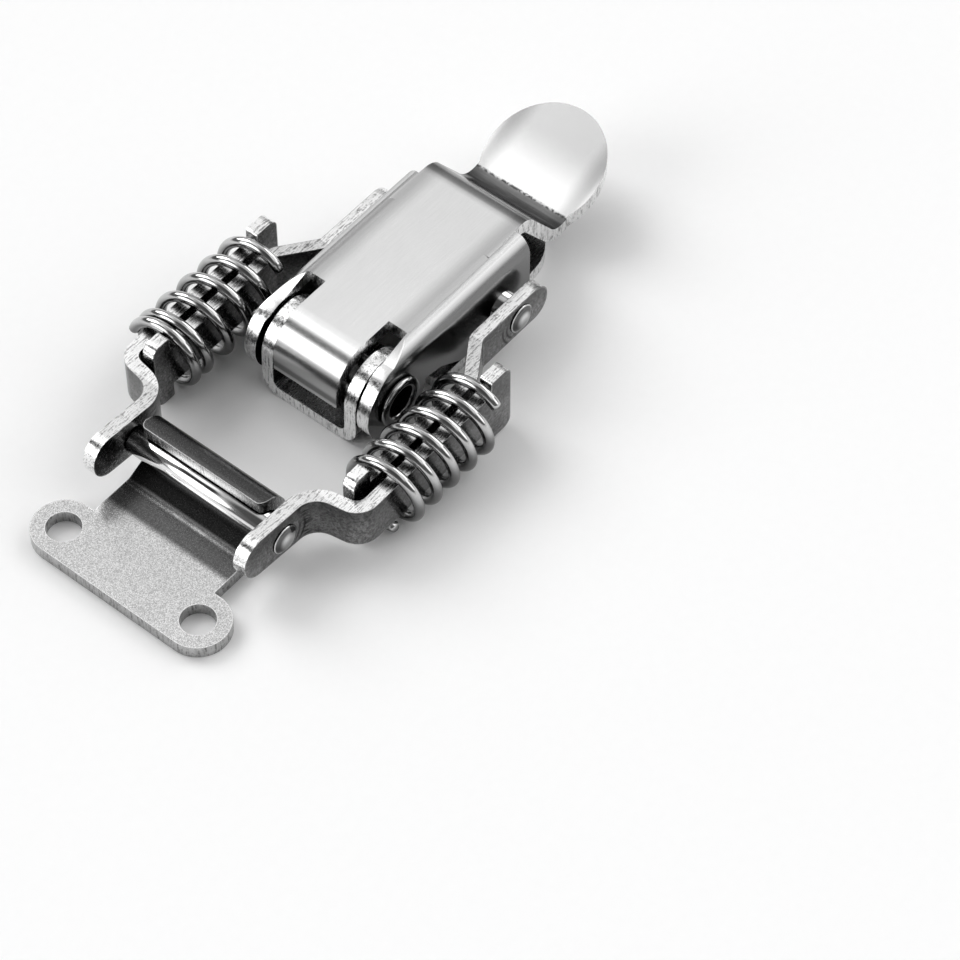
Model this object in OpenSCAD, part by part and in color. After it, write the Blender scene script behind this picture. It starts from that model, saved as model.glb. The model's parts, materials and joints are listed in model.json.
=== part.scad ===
// Over centre toggle latch with two spring links, closed over its keeper.
// Millimetres. X runs from the keeper to the lever's tail, Y is left, Z is up.
// The origin is midway between the base's two screw holes, on the mounting plane.

/* [Sheet and wire] */
// Thickness of the sheet that all the stamped pieces are cut from
sheet = 1.5; // [1.3:0.05:1.6]
// Radius on the inside of the sharper sheet bends
bend_inner = 0.9; // [0.6:0.1:1.1]
// Diameter of the spring wire
wire_d = 1.2; // [1.0:0.05:1.3]

/* [Hinge lines] */
// Height of the lever's pivot over the mounting plane
pivot_h = 5.3; // [5.2:0.1:5.6]
// Height of the crossbar, the springs and the arm pin when the latch is closed
arm_h = 4.7; // [4.7:0.05:5.0]
// Distance along X from the base's origin back to the lever's pivot
pivot_setback = 16.7; // [16.2:0.1:17.2]
// Distance along X from the lever's pivot to the arm pin
crank = 16.7; // [16.3:0.1:17.1]

/* [Base plate] */
// Spacing of the two screw holes on the centre line
base_hole_spacing = 16; // [14:0.5:17]
// Diameter of every screw hole
screw_hole_d = 3.7; // [3.0:0.1:4.2]
// Width over the outsides of the two upright ears
ear_outer_w = 12.6; // [12:0.1:12.8]
// Radius of the ears' round tops about the lever's pivot
ear_r = 4.2; // [3.9:0.1:4.3]
// Length of the ears along the floor
ear_length = 10.3; // [9.5:0.1:11]
// How far the floor's widest stretch stays inside the lever's flanges on each side
base_inset = 0.3; // [0.2:0.05:0.8]
// Length of the floor's widest stretch, behind the ears
base_wide_length = 7; // [5:0.5:8]
// Radius of the floor's round rear end
base_end_r = 6.1; // [5:0.1:6.5]

/* [Lever] */
// Height of the lever's flat top over the mounting plane
lever_top = 11.1; // [11:0.1:11.8]
// Width over the outsides of the lever's flanges
lever_w = 16.6; // [16.2:0.1:16.8]
// Outer radius of the bend from the top into each flange
shoulder_r = 2.4; // [1.9:0.1:2.8]
// Radius of the flanges' round fronts about the pivot
cheek_r = 4.6; // [4.3:0.1:4.7]
// Distance from the pivot back to the rear ends of the two slots
slot_back = 3.7; // [3.4:0.1:4.5]
// Width of each slot that an ear stands in
slot_w = 2.4; // [2.2:0.05:2.5]
// Width of the nose between the slots
nose_w = 8.4; // [7.6:0.1:8.6]
// Outer radius of the nose's curl
nose_r = 4.4; // [4.0:0.1:4.6]
// Height of the nose's lower edge over the mounting plane
nose_edge_h = 5.1; // [5.0:0.1:5.6]
// Distance from the arm pin to the flanges' rear ends
flange_back = 4.7; // [4.2:0.1:5.2]
// Height of the flanges' lower edge over the mounting plane
flange_h = 2.0; // [1.9:0.05:2.4]
// Distance from the pivot back to where the flanges are at their deepest
flange_deep_back = 10.2; // [9.6:0.1:10.8]
// Distance from the pivot back to the upper end of the flanges' slanted edge
flange_slant_back = 7; // [6.6:0.1:7.4]
// Drop of that end below the pivot
flange_slant_drop = 1.3; // [1.0:0.1:1.6]

/* [Tail] */
// Distance from the arm pin to where the top starts to bend down
tail_start = 6.8; // [6.4:0.1:7.2]
// Angle of the slope down from the top
tail_drop_angle = 53; // [50:1:56]
// Height of the corner where the slope meets the thumb tab
tail_valley_h = 4.2; // [4:0.1:4.6]
// Angle at which the thumb tab rises
tail_rise_angle = 21; // [18:1:24]
// Radius of the round thumb tab
tail_r = 6.85; // [6.5:0.05:7.1]
// Distance along X from the corner to the thumb tab's centre
tail_reach = 5.2; // [5:0.1:5.6]
// Width of the neck where the tail leaves the top
neck_w = 13.2; // [12.6:0.1:13.4]

/* [Spring links] */
// Width between the two front arms' inner faces
front_gap = 18.5; // [18.3:0.1:18.8]
// Width between the two rear arms' inner faces
rear_gap = 18.8; // [18.6:0.1:19]
// Distance between the two springs' axes
spring_track = 29; // [28.9:0.05:29.3]
// Space between the two strips that run through each spring
strip_gap = 0.85; // [0.75:0.05:0.95]
// Height of the strips inside the springs
strip_h = 5.2; // [4.8:0.05:5.2]
// Height of the T heads that the springs push on
head_h = 9; // [8.6:0.1:9.2]
// Length of the rear arms' T heads
rear_head_l = 2.5; // [2.2:0.1:2.5]
// Length of the front arms' T heads
front_head_l = 3.1; // [2.8:0.1:3.4]
// Distance from the arm pin to the springs' front ends
rear_arm_l = 27.6; // [27.4:0.1:27.7]
// Length of the springs with the latch closed
spring_l = 16; // [15.8:0.1:16.2]
// Outside diameter of the springs
spring_d = 9.2; // [9.2:0.05:9.3]
// Number of turns in each spring
spring_turns = 6; // [5:0.5:7]
// Height of the front arms' round front ends
front_end_h = 5.0; // [4.8:0.1:5.2]
// Distance from the crossbar to the front arms' front ends
front_end_l = 5.9; // [5.6:0.1:6.1]
// Height of the front ends' middle over the crossbar's middle
front_end_rise = 0.9; // [0.7:0.1:1.0]
// Distance from the crossbar to where the front arms' jog outwards starts
jog_l = 4.92; // [4.72:0.1:5.22]
// Angle of the jog to the arms
jog_angle = 80; // [76:1:84]
// Space between the jog and the T head in front of the spring
jog_gap = 0.4; // [0.3:0.05:0.6]
// Radius of the jog's first bend, along the middle of the sheet
jog_front_r = 3.1; // [2.6:0.1:3.3]
// Radius of the jog's second bend, along the middle of the sheet
jog_rear_r = 1.9; // [1.7:0.1:2.2]
// Height of the rear arms' round rear ends
rear_end_h = 4.4; // [4.2:0.1:4.8]
// Distance from the arm pin to the rear arms' rear ends
rear_end_l = 4.4; // [4.2:0.1:4.9]
// Angle of the rear arms' bend outwards
rear_bend_angle = 34; // [32:1:38]
// Distance from the springs' rear ends to the rear arms' bend outwards
rear_bend_gap = 0.5; // [0.4:0.1:0.8]

/* [Keeper plate] */
// Spacing of the two screw holes across the keeper
keeper_hole_spacing = 18; // [17:0.5:19]
// Radius of the plate's round ends about the holes
keeper_end_r = 3.45; // [3:0.05:3.45]
// Distance from the keeper's holes to the closed crossbar
keeper_to_bar = 11.1; // [11:0.1:11.6]
// Width of the neck and the hook
hook_w = 16.2; // [15:0.1:16.4]
// Angle at which the neck rises to the hook
ramp_angle = 26; // [24:1:30]
// Radius of the rounded corners of the hook's lip
lip_corner_r = 1.1; // [0.8:0.1:1.3]
// Angle round the crossbar at which the hook's lip ends, from straight back
lip_angle = 94; // [90:1:98]

/* [Pins] */
// Diameter of the crossbar
bar_d = 3; // [2.8:0.1:3.2]
// Diameter of the crossbar's riveted ends in the arms
bar_end_d = 2.2; // [2:0.1:2.4]
// Diameter of the arm pin in the lever
pin_d = 3.6; // [3.2:0.1:3.8]
// Diameter of the arm pin's riveted ends in the arms
pin_end_d = 2.6; // [2.2:0.1:2.8]
// Diameter of the domed rivet heads
rivet_head_d = 3.4; // [3.3:0.1:3.8]
// Height of the domed rivet heads
rivet_head_h = 0.6; // [0.5:0.05:0.7]
// Outside diameter of the pivot's hollow rivet
tube_d = 4.6; // [4.2:0.1:4.8]
// Wall of the hollow rivet
tube_wall = 0.5; // [0.4:0.05:0.6]
// Diameter of the hollow rivet's turned rims
tube_rim_d = 5.8; // [5.6:0.1:6.2]

/* [Fits] */
// Radial clearance of a pin in a bore that turns on it
running_fit = 0.05; // [0.03:0.01:0.08]
// Radial clearance of a riveted end in its hole
rivet_fit = 0.02; // [0.01:0.01:0.03]
// Space beside a piece that is riveted on or that a spring pushes on
side_fit = 0.05; // [0.03:0.01:0.08]
// Space between the crossbar and the inside of the hook
hook_fit = 0.3; // [0.25:0.05:0.35]

/* [Hidden] */
$fn = 48;

// Segments of the large round edges
edge_fn = 96;
// Largest step in degrees along a bend, and a length that cuts right through
bend_step = 9;
through = 100;
// A small overlap that joins two stretches of the same sheet
lap = 0.5;
// How far a flat edge stands in front of the round edge beside it
proud = 0.1;
// Half of the flat that is left in the middle of a round strip end
end_flat = 0.1;

// Length of the notch behind each ear, and the radii of the floor's corners
ear_notch = 0.8;
notch_r = 0.4;
floor_front_r = 1;
floor_rear_r = 1.5;
// Radii of the flanges' upper rear corner, lower rear corner and lower edge
flange_top_r = 0.5;
flange_corner_r = 2.2;
flange_edge_r = 1.5;
// Outer radius of the bend down from the top, and inner radius of the bend up to the thumb tab
tail_top_r = 2.6;
tail_valley_r = 2.4;
// How much the neck narrows on each side towards the thumb tab, and the blend into its round
neck_taper = 0.5;
neck_blend = 0.6;
// Radius of the bend up from the keeper's plate
ramp_bend_r = 2;
// Radii of the T heads' corners: beside the strip, and outside
head_inner_r = 0.3;
head_outer_r = 1.1;
// Radius that eases a strip's edge where its height changes
edge_ease_r = 2;
// Extra thickness of the hollow rivet's rims, and their radii
rim_extra = 0.15;
rim_seat_r = 0.2;
rim_edge_r = 0.4;
rim_bore_r = 0.5;
// Degrees between the points of a rivet head's dome
dome_step = 15;
// Space between the close turns at the springs' ends
coil_gap = 0.15;
// Rings for each turn of the spring wire, and sides of each ring
rings_per_turn = 26;
wire_sides = 10;

pivot_x = -pivot_setback;
arm_x = pivot_x + crank;
spring_front_x = arm_x - rear_arm_l;
spring_rear_x = spring_front_x + spring_l;
mid_front = front_gap / 2 + sheet / 2;
mid_rear = rear_gap / 2 + sheet / 2;
strip_inner = spring_track / 2 - strip_gap / 2 - sheet / 2;
strip_outer = spring_track / 2 + strip_gap / 2 + sheet / 2;
jog_depth = (strip_inner + sheet / 2 - mid_front) / tan(jog_angle) + sheet / 2 / sin(jog_angle);
jog_x = spring_front_x - rear_head_l - jog_gap - jog_depth;
bar_x = jog_x - jog_l;
keeper_x = bar_x - keeper_to_bar;

ear_outer = ear_outer_w / 2;
ear_front_x = pivot_x - ear_r - proud;
ear_rear_x = ear_front_x + ear_length;
flange_outer = lever_w / 2;
flange_inner = flange_outer - sheet;
slot_outer = nose_w / 2 + slot_w;
slot_end_x = pivot_x + slot_back;
floor_side = flange_outer - base_inset;
shoulder_h = lever_top - shoulder_r;
bend_mid = bend_inner + sheet / 2;
hook_mid_r = bar_d / 2 + hook_fit + sheet / 2;

function unit(v) = v / norm(v);
function left_of(v) = [-v[1], v[0]];
function along(angle) = [cos(angle), sin(angle)];
function turn_by(v, angle) = v[0] * along(angle) + v[1] * along(angle + 90);

// The points of a round corner at b with radius r, each with the normal on the path's left
function corner(a, b, c, r) =
    let (u = unit(b - a), w = unit(c - b), turn = atan2(u[0] * w[1] - u[1] * w[0], u * w))
    let (side = sign(turn), steps = max(1, ceil(abs(turn) / bend_step)))
    let (centre = b - u * r * tan(abs(turn) / 2) + left_of(u) * side * r)
    r == 0
        ? [[b, left_of(unit(u + w))]]
        : [for (i = [0:steps])
            let (n = turn_by(left_of(u), turn * i / steps))
            [centre - n * side * r, n]];

// An open path through the points p, with the corner radii r
function open_path(p, r) = concat(
    [[p[0], left_of(unit(p[1] - p[0]))]],
    [for (i = [1:len(p) - 2]) each corner(p[i - 1], p[i], p[i + 1], r[i])],
    [[p[len(p) - 1], left_of(unit(p[len(p) - 1] - p[len(p) - 2]))]]);

// The outline of a sheet that follows a path, from offset a to offset b on its left
function sheet_outline(path, a, b) = concat(
    [for (q = path) q[0] + q[1] * a],
    [for (i = [len(path) - 1:-1:0]) path[i][0] + path[i][1] * b]);

// A closed outline through the points p, with the corner radii r
function rounded(p, r) = [for (i = [0:len(p) - 1])
    each [for (q = corner(p[(i + len(p) - 1) % len(p)], p[i], p[(i + 1) % len(p)], r[i])) q[0]]];

// Stands an outline drawn in X and Z upright, with its thickness along Y
module across(width) {
    rotate([90, 0, 0]) linear_extrude(width, center = true) children();
}

// Runs an outline drawn in Y and Z along X between two places
module lengthwise(x0, x1) {
    translate([x0, 0, 0]) rotate([90, 0, 90]) linear_extrude(x1 - x0) children();
}

// A round bar or bore along Y through a place in X and Z
module cross_cylinder(x, z, d, width) {
    translate([x, 0, z]) rotate([90, 0, 0]) cylinder(d = d, h = width, center = true);
}

// A screw hole through a flat sheet on the mounting plane
module screw_hole(x, y) {
    translate([x, y, -lap]) cylinder(d = screw_hole_d, h = sheet + 2 * lap);
}

// A body turned from a profile of radius and Y, about a line along Y
module turned(x, z, profile) {
    translate([x, 0, z]) rotate([-90, 0, 0]) rotate_extrude() polygon(profile);
}

// One half of a bar's profile: its body, the end held in an arm, and the domed head
function rivet_half(body_r, arm_inner, end_r) =
    let (head_y = arm_inner + sheet + 2 * side_fit, head_r = rivet_head_d / 2)
    concat(
        [[body_r, arm_inner], [end_r, arm_inner], [end_r, head_y], [head_r, head_y]],
        [for (a = [dome_step:dome_step:90]) [head_r * cos(a), head_y + rivet_head_h * sin(a)]]);

// Both halves, which mirror each other
function rivet_profile(half) = concat(
    [for (i = [len(half) - 1:-1:0]) [half[i][0], -half[i][1]]], half);

// The floor, the two upright ears and the round end, stamped and bent as one piece
module base_plate() {
    hole_x = base_hole_spacing / 2;
    wide_x = ear_rear_x + base_wide_length;
    notch_x = ear_rear_x + ear_notch;
    ear_inner = ear_outer - sheet;
    ear_foot = [ear_rear_x - pivot_x, sheet - pivot_h];
    ear_angle = atan2(ear_foot[1], ear_foot[0]) + acos(ear_r / norm(ear_foot));
    color("silver") difference() {
        union() {
            intersection() {
                lengthwise(ear_front_x, ear_rear_x)
                    polygon(sheet_outline(open_path(
                        [[-ear_outer, pivot_h + ear_r], [-ear_outer, 0],
                            [ear_outer, 0], [ear_outer, pivot_h + ear_r]],
                        [0, sheet + bend_inner, sheet + bend_inner, 0]), 0, sheet));
                across(through) union() {
                    translate([pivot_x, pivot_h]) circle(ear_r, $fn = edge_fn);
                    polygon([[pivot_x - ear_r, pivot_h], [ear_front_x, sheet + bend_inner],
                        [ear_front_x, 0], [ear_rear_x, 0], [ear_rear_x, sheet],
                        [pivot_x, pivot_h] + ear_r * along(ear_angle)]);
                }
            }
            linear_extrude(sheet) polygon(rounded(
                [[ear_rear_x - lap, -ear_inner], [notch_x, -ear_inner], [notch_x, -floor_side],
                    [wide_x, -floor_side], [hole_x, -base_end_r], [hole_x, base_end_r],
                    [wide_x, floor_side], [notch_x, floor_side], [notch_x, ear_inner],
                    [ear_rear_x - lap, ear_inner]],
                [0, notch_r, floor_front_r, floor_rear_r, 0,
                    0, floor_rear_r, floor_front_r, notch_r, 0]));
            translate([hole_x, 0, 0]) cylinder(r = base_end_r, h = sheet, $fn = edge_fn);
        }
        for (x = [-hole_x, hole_x]) screw_hole(x, 0);
        cross_cylinder(pivot_x, pivot_h, tube_d + 2 * rivet_fit, through);
    }
}

// The hollow rivet that the lever turns on, with a rim turned over at both ends
module pivot_rivet() {
    tube_r = tube_d / 2;
    rim_r = tube_rim_d / 2;
    bore_r = tube_r - tube_wall;
    seat_y = flange_outer + side_fit;
    rim_y = seat_y + tube_wall + rim_extra;
    half = rounded(
        [[tube_r, 0], [tube_r, seat_y], [rim_r, seat_y],
            [rim_r, rim_y], [bore_r, rim_y], [bore_r, 0]],
        [0, 0, rim_seat_r, rim_edge_r, rim_bore_r, 0]);
    color("gainsboro") union() {
        turned(pivot_x, pivot_h, half);
        mirror([0, 1, 0]) turned(pivot_x, pivot_h, half);
    }
}

// The slotted plate that is screwed down, whose end is folded into a hook for the crossbar
module keeper_plate() {
    plate_mid = sheet / 2;
    tangent = [bar_x, arm_h] + hook_mid_r * along(ramp_angle - 90);
    ramp_x = tangent[0] - (tangent[1] - plate_mid) / tan(ramp_angle);
    flat_and_ramp = open_path(
        [[keeper_x - keeper_end_r, plate_mid], [ramp_x, plate_mid], tangent],
        [0, ramp_bend_r, 0]);
    arc_steps = ceil((lip_angle + 90 - ramp_angle) / bend_step);
    hook_arc = [for (i = [1:arc_steps])
        let (a = ramp_angle - 90 + (lip_angle + 90 - ramp_angle) * i / arc_steps)
        [[bar_x, arm_h] + hook_mid_r * along(a), -along(a)]];
    hole_y = keeper_hole_spacing / 2;
    lip_x = bar_x + (hook_mid_r + sheet / 2) * cos(lip_angle) - proud;
    color("darkgray") difference() {
        intersection() {
            across(through)
                polygon(sheet_outline(concat(flat_and_ramp, hook_arc), -sheet / 2, sheet / 2));
            translate([keeper_x, 0, -lap]) linear_extrude(through) union() {
                for (side = [-1, 1]) translate([0, side * hole_y]) circle(keeper_end_r, $fn = edge_fn);
                translate([-keeper_end_r, -hole_y]) square([2 * keeper_end_r, keeper_hole_spacing]);
                translate([0, -hook_w / 2]) square([keeper_to_bar + hook_mid_r + sheet, hook_w]);
            }
        }
        for (side = [-1, 1]) {
            screw_hole(keeper_x, side * hole_y);
            translate([lip_x, side * hook_w / 2, arm_h]) linear_extrude(through) difference() {
                square(2 * lip_corner_r, center = true);
                translate([lip_corner_r, -side * lip_corner_r]) circle(lip_corner_r);
            }
        }
    }
}

// The outline of the lever's flanges, seen from the side
module flange_outline() {
    rear_x = arm_x + flange_back;
    translate([pivot_x, pivot_h]) circle(cheek_r, $fn = edge_fn);
    polygon(rounded(
        [[pivot_x, pivot_h + cheek_r], [slot_end_x, lever_top], [rear_x, lever_top], [rear_x, flange_h],
            [pivot_x + flange_deep_back, flange_h],
            [pivot_x + flange_slant_back, pivot_h - flange_slant_drop], [pivot_x, pivot_h]],
        [0, 0, flange_top_r, flange_corner_r, flange_edge_r, flange_edge_r, 0]));
}

// The tail's outline, seen from above
module tail_plan(start_x, tab_x) {
    neck_side = neck_w / 2;
    narrow_side = neck_side - neck_taper;
    blend_side = tail_r - neck_blend;
    narrow_x = tab_x - sqrt(pow(tail_r, 2) - pow(narrow_side, 2));
    translate([tab_x, 0]) circle(tail_r, $fn = edge_fn);
    polygon([[start_x, -neck_side], [narrow_x, -narrow_side], [tab_x, -blend_side],
        [tab_x, blend_side], [narrow_x, narrow_side], [start_x, neck_side]]);
}

// The stamped lever: flat top, two flanges, curled nose between two slots, and thumb tail
module lever() {
    top_mid = lever_top - sheet / 2;
    drop_x = arm_x + tail_start;
    valley_x = drop_x + (lever_top - tail_valley_h) / tan(tail_drop_angle);
    tab_x = valley_x + tail_reach;
    tip_x = tab_x + tail_r + lap;
    nose_front_x = pivot_x - cheek_r - proud;
    color("lightgray") difference() {
        union() {
            difference() {
                intersection() {
                    lengthwise(pivot_x - cheek_r - lap, arm_x + flange_back)
                        polygon(sheet_outline(open_path(
                            [[-flange_outer, 0], [-flange_outer, lever_top],
                                [flange_outer, lever_top], [flange_outer, 0]],
                            [0, shoulder_r, shoulder_r, 0]), 0, -sheet));
                    across(through) flange_outline();
                }
                translate([pivot_x - through, -slot_outer, shoulder_h - through / 2])
                    cube([through + slot_back, 2 * slot_outer, through]);
            }
            across(nose_w) polygon(sheet_outline(open_path(
                [[slot_end_x + lap, lever_top], [nose_front_x, lever_top], [nose_front_x, nose_edge_h]],
                [0, nose_r, 0]), 0, sheet));
            intersection() {
                across(through) polygon(sheet_outline(open_path(
                    [[arm_x, lever_top], [drop_x, lever_top], [valley_x, tail_valley_h],
                        [tip_x, tail_valley_h + (tip_x - valley_x) * tan(tail_rise_angle)]],
                    [0, tail_top_r, tail_valley_r, 0]), 0, -sheet));
                linear_extrude(through) tail_plan(arm_x, tab_x);
            }
        }
        cross_cylinder(pivot_x, pivot_h, tube_d + 2 * running_fit, through);
        cross_cylinder(arm_x, arm_h, pin_d + 2 * running_fit, through);
    }
}

// The pin across the lever that carries both rear arms, riveted over at its ends
module arm_pin() {
    arm_inner = rear_gap / 2 - side_fit;
    half = rivet_half(pin_d / 2, arm_inner, pin_end_d / 2);
    color("gainsboro") turned(arm_x, arm_h, rivet_profile(half));
}

// The right rear arm: a bent strip whose T head pulls the spring's front end back
module rear_arm() {
    bend_end_x = spring_rear_x + rear_bend_gap;
    bend_x = bend_end_x + (strip_inner - mid_rear) / tan(rear_bend_angle);
    front_x = spring_front_x - rear_head_l;
    rear_x = arm_x + rear_end_l;
    end_corner_r = rear_end_h / 2 - end_flat;
    strip = open_path(
        [[rear_x, -mid_rear], [bend_x, -mid_rear],
            [bend_end_x, -strip_inner], [front_x, -strip_inner]],
        [0, bend_mid, bend_mid, 0]);
    color("silver") difference() {
        intersection() {
            linear_extrude(through) polygon(sheet_outline(strip, -sheet / 2, sheet / 2));
            across(through) polygon(rounded(
                [[rear_x, arm_h - rear_end_h / 2], [rear_x, arm_h + rear_end_h / 2],
                    [bend_x, arm_h + rear_end_h / 2], [bend_end_x, arm_h + strip_h / 2],
                    [spring_front_x, arm_h + strip_h / 2], [spring_front_x, arm_h + head_h / 2],
                    [front_x, arm_h + head_h / 2], [front_x, arm_h - head_h / 2],
                    [spring_front_x, arm_h - head_h / 2], [spring_front_x, arm_h - strip_h / 2],
                    [bend_end_x, arm_h - strip_h / 2], [bend_x, arm_h - rear_end_h / 2]],
                [end_corner_r, end_corner_r, edge_ease_r, edge_ease_r, 0, head_inner_r,
                    head_outer_r, head_outer_r, head_inner_r, 0, edge_ease_r, edge_ease_r]));
        }
        cross_cylinder(arm_x, arm_h, pin_end_d + 2 * rivet_fit, through);
    }
}

// The right front arm: a jogged strip whose T head pushes the spring's rear end
module front_arm() {
    jog_end_x = jog_x + (strip_outer - mid_front) / tan(jog_angle);
    front_x = bar_x - front_end_l;
    rear_x = spring_rear_x + front_head_l;
    end_h = arm_h + front_end_rise;
    end_corner_r = front_end_h / 2 - end_flat;
    strip = open_path(
        [[front_x, -mid_front], [jog_x, -mid_front],
            [jog_end_x, -strip_outer], [rear_x, -strip_outer]],
        [0, jog_front_r, jog_rear_r, 0]);
    color("silver") difference() {
        intersection() {
            linear_extrude(through) polygon(sheet_outline(strip, -sheet / 2, sheet / 2));
            across(through) polygon(rounded(
                [[front_x, end_h - front_end_h / 2], [front_x, end_h + front_end_h / 2],
                    [jog_x, arm_h + strip_h / 2], [spring_rear_x, arm_h + strip_h / 2],
                    [spring_rear_x, arm_h + head_h / 2], [rear_x, arm_h + head_h / 2],
                    [rear_x, arm_h - head_h / 2], [spring_rear_x, arm_h - head_h / 2],
                    [spring_rear_x, arm_h - strip_h / 2], [jog_x, arm_h - strip_h / 2]],
                [end_corner_r, end_corner_r, edge_ease_r, 0, head_inner_r, head_outer_r,
                    head_outer_r, head_inner_r, 0, edge_ease_r]));
        }
        cross_cylinder(bar_x, arm_h, bar_end_d + 2 * rivet_fit, through);
    }
}

// Length along the spring after so many turns: the first and last turns lie close
function coil_length(turn) =
    let (close = wire_d + coil_gap)
    let (open = (spring_l - 2 * side_fit - wire_d - 2 * close) / (spring_turns - 2))
    close * (min(turn, 1) + max(0, turn - spring_turns + 1))
        + open * max(0, min(turn, spring_turns - 1) - 1);

// One ring of points round the wire
function wire_ring(turn, count) =
    let (a = 360 * turn, wire_r = wire_d / 2, coil_r = (spring_d - wire_d) / 2)
    let (x = spring_front_x + side_fit + wire_r + coil_length(turn))
    [for (k = [0:count - 1])
        let (b = 360 * k / count, r = coil_r + wire_r * cos(b))
        [x + wire_r * sin(b), r * sin(a), r * cos(a)]];

// A spring on the left (1) or right (-1), swept along its helix, with both ends closed
module spring(side) {
    n = wire_sides;
    rings = ceil(spring_turns * rings_per_turn);
    points = [for (i = [0:rings]) each wire_ring(spring_turns * i / rings, n)];
    walls = [for (i = [0:rings - 1], k = [0:n - 1])
        let (next = (k + 1) % n)
        [i * n + k, i * n + next, (i + 1) * n + next, (i + 1) * n + k]];
    caps = [[for (k = [n - 1:-1:0]) k], [for (k = [0:n - 1]) rings * n + k]];
    color("lightslategray") translate([0, side * spring_track / 2, arm_h])
        polyhedron(points, concat(walls, caps));
}

// The bar that the hook holds, riveted into the two front arms
module crossbar() {
    arm_inner = front_gap / 2 - side_fit;
    half = rivet_half(bar_d / 2, arm_inner, bar_end_d / 2);
    color("gainsboro") turned(bar_x, arm_h, rivet_profile(half));
}

base_plate();
pivot_rivet();
keeper_plate();
lever();
arm_pin();
mirror([0, 1, 0]) rear_arm();  // rear_arm_left
rear_arm();  // rear_arm_right
mirror([0, 1, 0]) front_arm();  // front_arm_left
front_arm();  // front_arm_right
spring(1);  // spring_left
spring(-1);  // spring_right
crossbar();
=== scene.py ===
import json
import math

import bmesh
import bpy
import numpy as np
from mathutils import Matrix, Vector
from mathutils.bvhtree import BVHTree


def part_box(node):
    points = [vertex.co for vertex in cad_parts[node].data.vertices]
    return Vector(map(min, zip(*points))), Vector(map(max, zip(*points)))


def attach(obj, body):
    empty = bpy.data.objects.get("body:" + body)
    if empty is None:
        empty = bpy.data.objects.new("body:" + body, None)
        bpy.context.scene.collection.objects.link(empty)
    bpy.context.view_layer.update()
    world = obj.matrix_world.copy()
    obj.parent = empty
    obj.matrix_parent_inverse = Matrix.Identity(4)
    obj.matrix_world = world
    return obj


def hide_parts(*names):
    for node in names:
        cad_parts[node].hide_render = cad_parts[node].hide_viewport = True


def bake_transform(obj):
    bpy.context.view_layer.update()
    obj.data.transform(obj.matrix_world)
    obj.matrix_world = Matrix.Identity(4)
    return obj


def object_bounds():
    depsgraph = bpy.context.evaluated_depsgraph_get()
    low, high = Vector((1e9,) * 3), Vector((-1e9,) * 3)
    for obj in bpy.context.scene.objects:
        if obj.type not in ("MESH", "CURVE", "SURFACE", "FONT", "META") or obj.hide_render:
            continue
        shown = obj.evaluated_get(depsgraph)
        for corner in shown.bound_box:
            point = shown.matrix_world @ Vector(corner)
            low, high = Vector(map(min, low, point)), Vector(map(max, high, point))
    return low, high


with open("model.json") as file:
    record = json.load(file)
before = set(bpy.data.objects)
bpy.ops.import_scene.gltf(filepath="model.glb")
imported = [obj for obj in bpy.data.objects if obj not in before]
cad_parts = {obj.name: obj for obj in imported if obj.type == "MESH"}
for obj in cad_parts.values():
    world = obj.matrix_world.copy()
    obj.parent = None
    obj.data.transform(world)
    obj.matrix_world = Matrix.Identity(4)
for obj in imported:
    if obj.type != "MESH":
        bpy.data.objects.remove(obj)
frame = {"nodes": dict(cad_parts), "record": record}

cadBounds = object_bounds()
nodes = frame["nodes"]
bodies = frame["record"]["behaviour"]["bodies"]
bodyOf = {node: body for body, members in bodies.items() for node in members}
mm = 0.001


# node helpers: each input takes a plain value or the socket that feeds it

nodeSpacing = (200, 180)   # between columns and between rows in the node editor


def addNode(tree, kind, spot, inputs=None, **settings):
    # one shader node at a column and row, with its settings and inputs
    node = tree.nodes.new(kind)
    node.location = (spot[0] * nodeSpacing[0], -spot[1] * nodeSpacing[1])
    for name, value in settings.items():
        setattr(node, name, value)
    for key, value in (inputs or {}).items():
        if isinstance(value, bpy.types.NodeSocket):
            tree.links.new(value, node.inputs[key])
        else:
            node.inputs[key].default_value = value
    return node


def addMath(tree, spot, operation, *terms):
    # a number worked out from one or two numbers
    return addNode(tree, "ShaderNodeMath", spot, dict(enumerate(terms)), operation=operation).outputs[0]


def addVectorMath(tree, spot, operation, *terms):
    # a vector worked out from one or two vectors, or a number for a dot product or a length
    node = addNode(tree, "ShaderNodeVectorMath", spot, dict(enumerate(terms)), operation=operation)
    return node.outputs["Value" if operation in ("DOT_PRODUCT", "LENGTH") else "Vector"]


def addRange(tree, spot, value, low, high, toLow=0.0, toHigh=1.0, smooth=True):
    # carries a value from one range to another, eased at both ends or straight
    inputs = {"Value": value, "From Min": low, "From Max": high, "To Min": toLow, "To Max": toHigh}
    easing = "SMOOTHSTEP" if smooth else "LINEAR"
    return addNode(tree, "ShaderNodeMapRange", spot, inputs, interpolation_type=easing).outputs["Result"]


def addNoise(tree, spot, vector, scale, detail, roughness=0.5):
    inputs = {"Vector": vector, "Scale": scale, "Detail": detail, "Roughness": roughness}
    return addNode(tree, "ShaderNodeTexNoise", spot, inputs).outputs["Fac"]


def addMix(tree, spot, kind, factor, first, second, blend="MIX"):
    inputs = {"Factor": factor, "A": first, "B": second}
    return addNode(tree, "ShaderNodeMix", spot, inputs, data_type=kind, blend_type=blend).outputs["Result"]


def grey(value):
    return (value, value, value, 1)


# shared effects

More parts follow.
